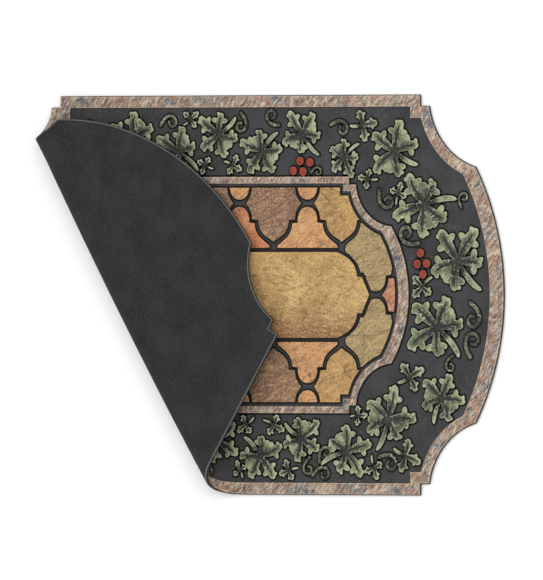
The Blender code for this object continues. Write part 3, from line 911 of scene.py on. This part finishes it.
def make_band(name, shape, outer, inner, material):
    """A raised border between two insets of a plaque, lofted ring by ring."""
    depths = (0.0,) + SHOULDERS
    width = (inner[0] - outer[0], inner[1] - outer[1])
    middle = max(2, round(width[0] / BAND_GRAIN))
    rings = [(outer[0] + d, outer[1] + d, d) for d in depths]
    least = SHOULDERS[-1] + BAND_GAP
    for i in range(1, middle):
        share = i / middle
        if least < share * width[0] < width[0] - least:
            rings.append((outer[0] + share * width[0], outer[1] + share * width[1],
                          min(share, 1 - share) * width[0]))
    rings += [(inner[0] - d, inner[1] - d, d) for d in reversed(depths)]
    loops = [plaque(shape, side, end) for side, end, _ in rings]
    count = len(loops[0])
    foot = np.full(count, BASE - ROOT)
    points = [np.column_stack((loops[0], foot))]
    points += [np.column_stack((loop, BASE + shoulder(np.full(count, d), BORDER_RISE)))
               for loop, (_, _, d) in zip(loops, rings)]
    points.append(np.column_stack((loops[-1], foot)))
    edges = [0.0, *(d for _, _, d in rings), 0.0]
    faces = []
    for ring in range(len(points)):
        after = (ring + 1) % len(points)
        for i in range(count):
            j = (i + 1) % count
            faces.append((ring * count + i, ring * count + j, after * count + j, after * count + i))
    relief = Relief()
    relief.add(np.vstack(points), faces, edge=np.repeat(edges, count))
    return relief.build(name, "stone_border", material)


def mirrored(quarter):
    """A closed counterclockwise outline from its quarter in millimetres, from the x axis on."""
    upper = quarter + tuple((-x, y) for x, y in reversed(quarter) if x > 0)
    return MM * np.array(upper + tuple((x, -y) for x, y in reversed(upper[1:-1])))


def outset(loop, width):
    """A counterclockwise outline moved out by width, its corners kept sharp."""
    before = outward(loop - np.roll(loop, 1, axis=0))
    after = np.roll(before, -1, axis=0)
    return loop + width * (before + after) / (1 + (before * after).sum(axis=1))[:, None]


def tile_outline(column, row):
    """One tile's outline, wide in odd columns and narrow in even ones, its curves drawn smooth."""
    loop = softened(mirrored(WIDE_TILE if column % 2 else NARROW_TILE))
    return loop + (column * CELL[0], row * CELL[1])


def softened(loop):
    """A loop with its gentle bends made curves and its sharp corners kept."""
    way = np.roll(loop, -1, axis=0) - loop
    heading = np.arctan2(way[:, 1], way[:, 0])
    bend = np.abs((heading - np.roll(heading, 1) + pi) % (2 * pi) - pi)
    size = np.linalg.norm(way, axis=1)
    share = size / np.roll(size, 1)
    corner = (bend > SHARP) | (np.maximum(share, 1 / share) > LONG_EDGE)
    points = []
    for i in range(len(loop)):
        here, there = loop[i], loop[(i + 1) % len(loop)]
        before = here - (there - here) if corner[i] else loop[i - 1]
        beyond = there + (there - here) if corner[(i + 1) % len(loop)] else loop[(i + 2) % len(loop)]
        for t in np.linspace(0, 1, CURVE_STEPS + 1)[:-1]:
            points.append(0.5 * (2 * here + (there - before) * t
                                 + (2 * before - 5 * here + 4 * there - beyond) * t**2
                                 + (3 * here - before - 3 * there + beyond) * t**3))
    return np.array(points)


def traced(polygons, allowed):
    """The outlines of where the polygons lie over each other as allowed, largest first."""
    verts, faces, first = [], [], 0
    for loop in polygons:
        verts += [Vector(p) for p in loop.tolist()]
        faces.append(list(range(first, first + len(loop))))
        first += len(loop)
    found, _, parts, _, _, origins = delaunay_2d_cdt(verts, [], faces, 1, CLIP_TOLERANCE)
    found = np.array([tuple(p) for p in found])
    edges = set()
    for part, origin in zip(parts, origins):
        if allowed(set(origin)):
            if area(found[part]) < 0:
                part = part[::-1]
            edges.update(zip(part, part[1:] + part[:1]))
    after = {a: b for a, b in edges if (b, a) not in edges}
    result = []
    while after:
        start, here = after.popitem()
        chain = [start]
        while here != start and here in after:
            chain.append(here)
            here = after.pop(here)
        result.append(found[chain])
    return sorted(result, key=lambda one: -abs(area(one)))


def make_tiles(foot_shade):
    """The tiles between the inner border and the centre panel."""
    keep = plaque(FIELD, INNER_BORDER[0] + GROUT, INNER_BORDER[1] + GROUT)
    leave = outset(mirrored(PANEL), GROUT)
    columns, rows = int(FIELD["length"] / CELL[0]) + 1, int(FIELD["width"] / CELL[1]) + 1
    names = list(TILE_COLOURS)
    relief = Relief()
    for row in range(-rows, rows + 1):
        for column in range(-columns, columns + 1):
            loop = tile_outline(column, row)
            kept = within(loop, [keep]) & ~within(loop, [leave])
            if (row + column) % 2 == 0 or not kept.any():
                continue
            loops = [loop] if kept.all() else traced([loop, keep, leave], {0, 1}.__eq__)
            tone = (names.index(TILE_TONES.get((abs(column), abs(row)), "mauve")) + 0.5) / len(names)
            seed = column * TILE_SEED[0] + row * TILE_SEED[1]
            for one in loops:
                if abs(area(one)) > SLIVER:
                    one = resampled(one, TILE_STEP)
                    relief.add_region([one], TILE_GRAIN, *RELIEF["tile"], tone=tone, seed=seed)
                    foot_shade.append(one)
    return relief.build("tiles", "stone_tile", mottled_tile())


def make_panel(foot_shade):
    loop = resampled(softened(mirrored(PANEL)), TILE_STEP)
    relief = Relief()
    relief.add_region([loop], PANEL_GRAIN, *RELIEF["panel"])
    foot_shade.append(loop)
    return relief.build("centre_panel", "stone_tile", ochre_stone())


def widening(place):
    """0 along the mat's sides, where the garland is narrow, rising to 1 at its ends."""
    return min(1.0, abs(place.x) / GARLAND[0]) ** 2


def between(pair, share):
    return pair[0] + (pair[1] - pair[0]) * share


def sideways(heading):
    return Vector((-sin(heading), cos(heading)))


def garland(count, steps=1440):
    """Places round the ring with their headings, further apart where the leaves are larger."""
    power = 2 / GARLAND_POWER
    ring = []
    for i in range(steps + 1):
        a = 2 * pi * i / steps
        x, y = (half * abs(part) ** power * (1 if part > 0 else -1)
                for half, part in zip(GARLAND, (cos(a), sin(a))))
        ring.append(Vector((x, y)))
    reach = [0.0]
    for here, there in zip(ring, ring[1:]):
        reach.append(reach[-1] + (there - here).length / between(LEAF_SIZE, widening(here)))
    places = []
    i = 0
    for k in range(count):
        goal = reach[-1] * (k + 0.5) / count
        while reach[i + 1] < goal:
            i += 1
        heading = ring[i + 1] - ring[i]
        places.append((ring[i], atan2(heading.y, heading.x)))
    return places


def inside(point, loop):
    """Whether a flat point lies inside a loop."""
    x, y = point
    crossed = False
    for (ax, ay), (bx, by) in zip(loop, loop[1:] + loop[:1]):
        if (ay > y) != (by > y) and x < ax + (bx - ax) * (y - ay) / (by - ay):
            crossed = not crossed
    return crossed


def cross(a, b, c, d):
    """Whether the stretch from a to b crosses the one from c to d."""
    def way(p, q, r):
        return (q[0] - p[0]) * (r[1] - p[1]) - (q[1] - p[1]) * (r[0] - p[0]) > 0
    return way(a, b, c) != way(a, b, d) and way(c, d, a) != way(c, d, b)


def rib(x, y, heading, length, curl, share):
    """The place and direction a share of the way along a rib that curls more towards its end."""
    for i in range(RIB_STEPS):
        way = heading + curl * (share * (i + 0.5) / RIB_STEPS) ** 2
        x += length * share / RIB_STEPS * cos(way)
        y += length * share / RIB_STEPS * sin(way)
    return x, y, heading + curl * share**2


def leaf(lobes, place, heading, size, side, number):
    """A leaf's outline round its heart, its lobes a little longer or shorter by its number."""
    amount, by_leaf, by_lobe = VARIETY
    lengths = [size * length * (1 + amount * sin(by_leaf * number + by_lobe * i))
               for i, (_, length, _, _) in enumerate(lobes)]
    loop = []
    for i, (degrees, _, width, curl) in enumerate(lobes):
        start, turn = heading + side * radians(degrees), side * radians(curl)
        shape = LOBE_SIDE if width > STALK_WIDTH else STALK_SIDE
        for way, shares in ((-side, shape), (side, tuple(reversed(shape)))):
            for share, part in shares:
                x, y, direction = rib(*place, start, lengths[i], turn, share)
                off = way * width * size * part
                loop.append((x - off * sin(direction), y + off * cos(direction)))
            if way == -side:
                loop.append(rib(*place, start, lengths[i], turn, 1.0)[:2])
        after = (lobes[(i + 1) % len(lobes)][0] - degrees) % 360
        middle = start + side * radians(after / 2)
        part = VALLEY * min(lengths[i], lengths[(i + 1) % len(lobes)])
        loop.append((place[0] + part * cos(middle), place[1] + part * sin(middle)))
    return loop


def tendril(place, heading, length, width, curl):
    """A stem that ends in a spiral, tapering a little."""
    left, right = [], []
    for share in TENDRIL_SHARES:
        x, y, direction = rib(*place, heading, length, curl, share)
        off = width / 2 * (1 - TENDRIL_TAPER * share)
        left.append((x - off * sin(direction), y + off * cos(direction)))
        right.append((x + off * sin(direction), y - off * cos(direction)))
    return left + right[::-1]


def berries(place, heading):
    """The outlines of a bunch of berries."""
    loops = []
    for along, across in BUNCH:
        x = place.x + BERRY_SPACING * (along * cos(heading) - across * sin(heading))
        y = place.y + BERRY_SPACING * (along * sin(heading) + across * cos(heading))
        loops.append([(x + BERRY_RADIUS * cos(pi * i / 3), y + BERRY_RADIUS * sin(pi * i / 3))
                      for i in range(6)])
    return loops


def stands_clear(loop, others, outer, inner):
    """Whether a loop, grown a little, lies between the two borders and off the other loops."""
    x, y = (sum(point[axis] for point in loop) / len(loop) for axis in (0, 1))
    near = [other for other in others if hypot(other[0][0] - x, other[0][1] - y) < NEAR]
    if any(inside((x, y), other) for other in near):
        return False
    grown = [(x + GROWTH * (px - x), y + GROWTH * (py - y)) for px, py in loop]
    flat = np.array(grown)
    if within(flat, [inner]).any() or not within(flat, [outer]).all():
        return False
    if any(inside(point, other) for other in near for point in grown):
        return False
    if any(inside(point, grown) for other in near for point in other):
        return False
    sides = list(zip(grown, grown[1:] + grown[:1]))
    return not any(cross(*side, *other_side) for other in near
                   for other_side in zip(other, other[1:] + other[:1]) for side in sides)


def garland_poses():
    """What stands in the garland, in the order of fitting: kind, place, heading, size, side, number."""
    places = garland(LEAF_COUNT)
    for k, (place, heading) in enumerate(places[::BUNCH_EVERY]):
        spot = place + sideways(heading) * between(FILLER_STANDOFF, widening(place))
        yield "berries", spot, heading, 1.0, 1, k
    for k, (place, heading) in enumerate(places):
        side = 1 if k % 2 else -1
        wide = widening(place)
        spot = place + sideways(heading) * side * between(LEAF_STANDOFF, wide)
        yield "ivy", spot, heading + side * LEAF_TURN, between(LEAF_SIZE, wide), side, k
    for k, (place, heading) in enumerate(places):
        side = 1 if k % 2 else -1
        along, out = Vector((cos(heading), sin(heading))), sideways(heading) * side
        wide = widening(place)
        for _, kind, shift, turn in (row for row in FILLERS if row[0] == k % 4):
            standoff = between(TENDRIL_STANDOFF if kind == "tendril" else FILLER_STANDOFF, wide)
            spot = place + along * shift * between(LEAF_SIZE, wide) - out * standoff
            size = between(FILLER_SIZES[kind], wide)
            yield kind, spot, heading - side * radians(turn), size, -side, k
    for kind, count in GAPS:
        for k, (place, heading) in enumerate(garland(count)):
            for i, standoff in enumerate(GAP_STANDOFFS):
                spot = place + sideways(heading) * standoff
                size = between(FILLER_SIZES[kind], widening(place))
                yield kind, spot, heading + GAP_TURN * (k + i), size, (-1) ** (k + i), -1 - k


def outlines(kind, spot, heading, size, side, number):
    """The outlines of one pose, which for a bunch of berries are several."""
    if kind == "berries":
        return berries(spot, heading)
    if kind == "tendril":
        return [tendril(spot, heading, size, TENDRIL_WIDTH * size, side * TENDRIL_CURL)]
    return [leaf(LOBES[kind], spot, heading, size, side, number)]


def fitted_poses():
    """The poses that stand clear, each of the first size and turn that does."""
    outer = plaque(MAT, *(width + CLEARANCE for width in BORDER), plain=True)
    inner = plaque(FIELD, -CLEARANCE, -CLEARANCE, plain=True)
    others, poses = [], []
    for kind, spot, heading, size, side, number in garland_poses():
        parts = PARTS if number >= 0 else GAP_PARTS
        for part, turn in ((part, radians(turn)) for part in parts for turn in TURNS):
            made = outlines(kind, spot, heading + turn, size * part, side, number)
            if all(stands_clear(loop, others, outer, inner) for loop in made):
                others += made
                poses.append((kind, spot, heading + turn, size * part, side, number, made))
                break
    return poses


def ribbon(x, y, heading, length, curl, width, steps=PETAL_STEPS):
    """Both sides of a curling lobe or stem, its half width at each share of its length from width()."""
    fine = RIBBON_FINENESS * steps
    way = heading + curl * ((np.arange(fine) + 0.5) / fine) ** 2
    line_x = x + np.concatenate(((0,), np.cumsum(np.cos(way)))) * length / fine
    line_y = y + np.concatenate(((0,), np.cumsum(np.sin(way)))) * length / fine
    share = np.linspace(0, 1, steps + 1)
    middle = np.column_stack((line_x, line_y))[::RIBBON_FINENESS]
    direction = heading + curl * share**2
    side = np.column_stack((-np.sin(direction), np.cos(direction))) * width(share)[:, None]
    return middle + side, middle - side


def petal(x, y, heading, length, width, curl):
    """A plump lobe: narrow at its root, widest past its middle, round at its end."""
    def half_width(share):
        root = ROOT_WIDTH + (1 - ROOT_WIDTH) * np.sin(pi / 2 * np.clip(share / WIDEST, 0, 1))
        end = np.sqrt(1 - np.clip((share - WIDEST) / (1 - WIDEST), 0, 1) ** 2)
        return width * np.where(share < WIDEST, root, end**END_POWER)
    left, right = ribbon(x, y, heading, length, curl, half_width)
    return np.vstack((right[:-1], left[::-1]))


def leaf_outlines(lobes, spot, heading, size, side, number):
    """A leaf's outline with side lobes, and its slits as one star-shaped hole."""
    amount, by_leaf, by_lobe = VARIETY
    petals = [arc(spot, HEART * size, 0, 2 * pi, PETAL_STEPS)]
    ribs = []
    for i, (degrees, length, width, curl) in enumerate(lobes):
        start, turn = heading + side * radians(degrees), side * radians(curl)
        reach = size * length * (1 + amount * sin(by_leaf * number + by_lobe * i))
        petals.append(petal(*spot, start, reach, width * size, turn))
        stalk = width < STALK_WIDTH
        ribs.append((start, reach, turn, STALK_SLIT_SHARE if stalk else SLIT_SHARE))
        if length > EARED_FROM and not stalk:
            for share, out, ear_length, ear_width, ear_curl in EARS:
                x, y, direction = rib(*spot, start, reach, turn, share)
                petals.append(petal(x, y, direction + radians(out), ear_length * size, ear_width * size,
                                    radians(ear_curl)))
    outline = traced([one if area(one) > 0 else one[::-1] for one in petals], bool)[0]
    heart = np.array(spot[:])
    star = []
    for i, (start, reach, turn, share) in enumerate(ribs):
        def half_width(along):
            return size * between(SLIT, along)
        left, right = ribbon(*spot, start, reach * share, turn * share**2, half_width)
        clear = np.linalg.norm(left - heart, axis=1) > SLIT_PART * size * SLIT[0]
        left, right = left[clear], right[clear]
        end = (left[-1] + right[-1]) / 2 + 0.5 * ((left[-1] - left[-2]) + (right[-1] - right[-2])) / 2
        star += [*right, end, *left[::-1]] if side > 0 else [*left, end, *right[::-1]]
        after = (ribs[(i + 1) % len(ribs)][0] - start) * side % (2 * pi)
        middle = start + side * after / 2
        star.append(heart + SLIT_MEET * size * SLIT[0] * np.array((cos(middle), sin(middle))))
    return outline, np.array(star)


def tendril_outline(spot, heading, size, side):
    """A tendril's finer outline, with rounded ends."""
    def half_width(share):
        ends = [np.sqrt(1 - np.clip(1 - off / TENDRIL_END, 0, 1) ** 2) for off in (share, 1 - share)]
        return TENDRIL_WIDTH * size / 2 * (1 - TENDRIL_TAPER * share) * np.minimum(*ends)
    left, right = ribbon(*spot, heading, size, side * TENDRIL_CURL, half_width, TENDRIL_STEPS)
    loop = np.vstack((right[:-1], left[:0:-1]))
    return loop if area(loop) > 0 else loop[::-1]


def make_garland(foot_shade):
    """The leaves, small leaves, tendrils and berries that fit between the borders."""
    reliefs = {kind: Relief() for kind in ("ivy", "sprig", "tendril", "berries")}
    for kind, spot, heading, size, side, number, clear in fitted_poses():
        if kind == "berries":
            for loop in clear:
                loop = arc(np.mean(loop, axis=0), BERRY_RADIUS, 0, 2 * pi, BERRY_STEPS)
                reliefs[kind].add_region([loop], BERRY_GRAIN, *RELIEF["berry"])
                foot_shade.append(loop)
            continue
        if kind == "tendril":
            loop = resampled(tendril_outline(spot, heading, size, side), OUTLINE_STEP)
            reliefs[kind].add_region([loop], LEAF_GRAIN, *RELIEF["tendril"], tip=TENDRIL_TIP)
            foot_shade.append(loop)
            continue
        shapes = leaf_outlines(LOBES[kind], spot, heading, size, side, number)
        loops = [resampled(shape, OUTLINE_STEP) for shape in shapes]
        heart = np.array(spot[:])

        def tip(points):
            reach = np.linalg.norm(points - heart, axis=1) / (TIP_REACH[0] * size)
            off = np.clip(from_edge(points, loops[1:]) / (TIP_REACH[1] * size), 0, 1)
            return TIP_SHARES[0] * reach + TIP_SHARES[1] * off

        reliefs[kind].add_region(loops, LEAF_GRAIN, *RELIEF["leaf"], tip=tip)
        foot_shade.append(loops[0])
    green = sage_flock()
    return [
        reliefs["ivy"].build("ivy_leaves", "ivy_flock", green),
        reliefs["sprig"].build("small_leaves", "ivy_flock", green),
        reliefs["tendril"].build("tendrils", "ivy_flock", green),
        reliefs["berries"].build("berries", "berry_flock", berry_flock()),
    ]


def make_foot_shade(loops):
    """Painted shade: dark strips on the base round the foot of the raised pieces."""
    relief = Relief()
    for loop in loops:
        count = len(loop)
        turned = area(loop) < 0
        out = -normals(loop) if turned else normals(loop)
        rows = np.vstack((loop - FOOT_SHADE_TUCK * out, loop + FOOT_SHADE_WIDTH * out))
        faces = [(i, count + i, count + (i + 1) % count, (i + 1) % count) for i in range(count)]
        if turned:
            faces = [face[::-1] for face in faces]
        relief.add(np.column_stack((rows, np.full(2 * count, BASE + FOOT_SHADE_LIFT))), faces,
                   edge=np.repeat((0.0, 1.0), count))
    return relief.build("foot_shade", "black_rubber", foot_shade_flock())


# Studio

def make_floor():
    bpy.ops.mesh.primitive_plane_add(size=FLOOR_SIZE, location=(0.0, 0.0, -FLOOR_GAP))
    floor = bpy.context.object
    floor.name = "floor"
    s = Shader("pale_floor", 0.9)
    floor.data.materials.append(s.paint(linear(246, 246, 246)))


def make_lights():
    scene = bpy.context.scene
    world = bpy.data.worlds.new("studio")
    scene.world = world
    world.use_nodes = True
    background = world.node_tree.nodes["Background"]
    background.inputs["Color"].default_value = (1.0, 1.0, 1.0, 1.0)
    background.inputs["Strength"].default_value = SURROUNDINGS
    for name, (place, size, power) in LAMPS.items():
        data = bpy.data.lights.new(name, "AREA")
        data.shape = "DISK"
        data.size = size
        data.energy = power
        lamp = bpy.data.objects.new(name, data)
        lamp.location = place
        lamp.rotation_euler = (-Vector(place)).to_track_quat("-Z", "Y").to_euler()
        scene.collection.objects.link(lamp)


def make_camera():
    scene = bpy.context.scene
    data = bpy.data.cameras.new("camera")
    data.lens = LENS
    data.sensor_width = SENSOR
    distance = LENS / SENSOR * FRAME_HEIGHT / PIXELS_PER_METRE
    back = Vector((cos(CAMERA_ELEVATION), 0.0, sin(CAMERA_ELEVATION)))
    right = Vector((sin(CAMERA_ELEVATION), 0.0, -cos(CAMERA_ELEVATION)))
    turn = Matrix((right, Vector((0.0, 1.0, 0.0)), back)).transposed()
    camera = bpy.data.objects.new("camera", data)
    camera.matrix_world = Matrix.Translation(AIM + back * distance) @ turn.to_4x4()
    data.clip_start = 1.0
    data.clip_end = distance * 2
    scene.collection.objects.link(camera)
    scene.camera = camera
    scene.view_settings.view_transform = "Standard"


def main():
    make_camera()
    make_floor()
    make_lights()
    sheet, flat_area = make_sheet()
    stone = streaked_stone()
    # Loops round whose foot a strip of painted shade is laid
    foot_shade = [plaque(MAT, *BORDER)[::-1], plaque(FIELD), plaque(FIELD, *INNER_BORDER)[::-1]]
    pieces = [
        make_band("border", MAT, (LIP, LIP), BORDER, stone),
        make_band("inner_border", FIELD, (0.0, 0.0), INNER_BORDER, stone),
        make_tiles(foot_shade),
        make_panel(foot_shade),
        *make_garland(foot_shade),
        make_foot_shade(foot_shade),
    ]
    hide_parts("mat")


main()
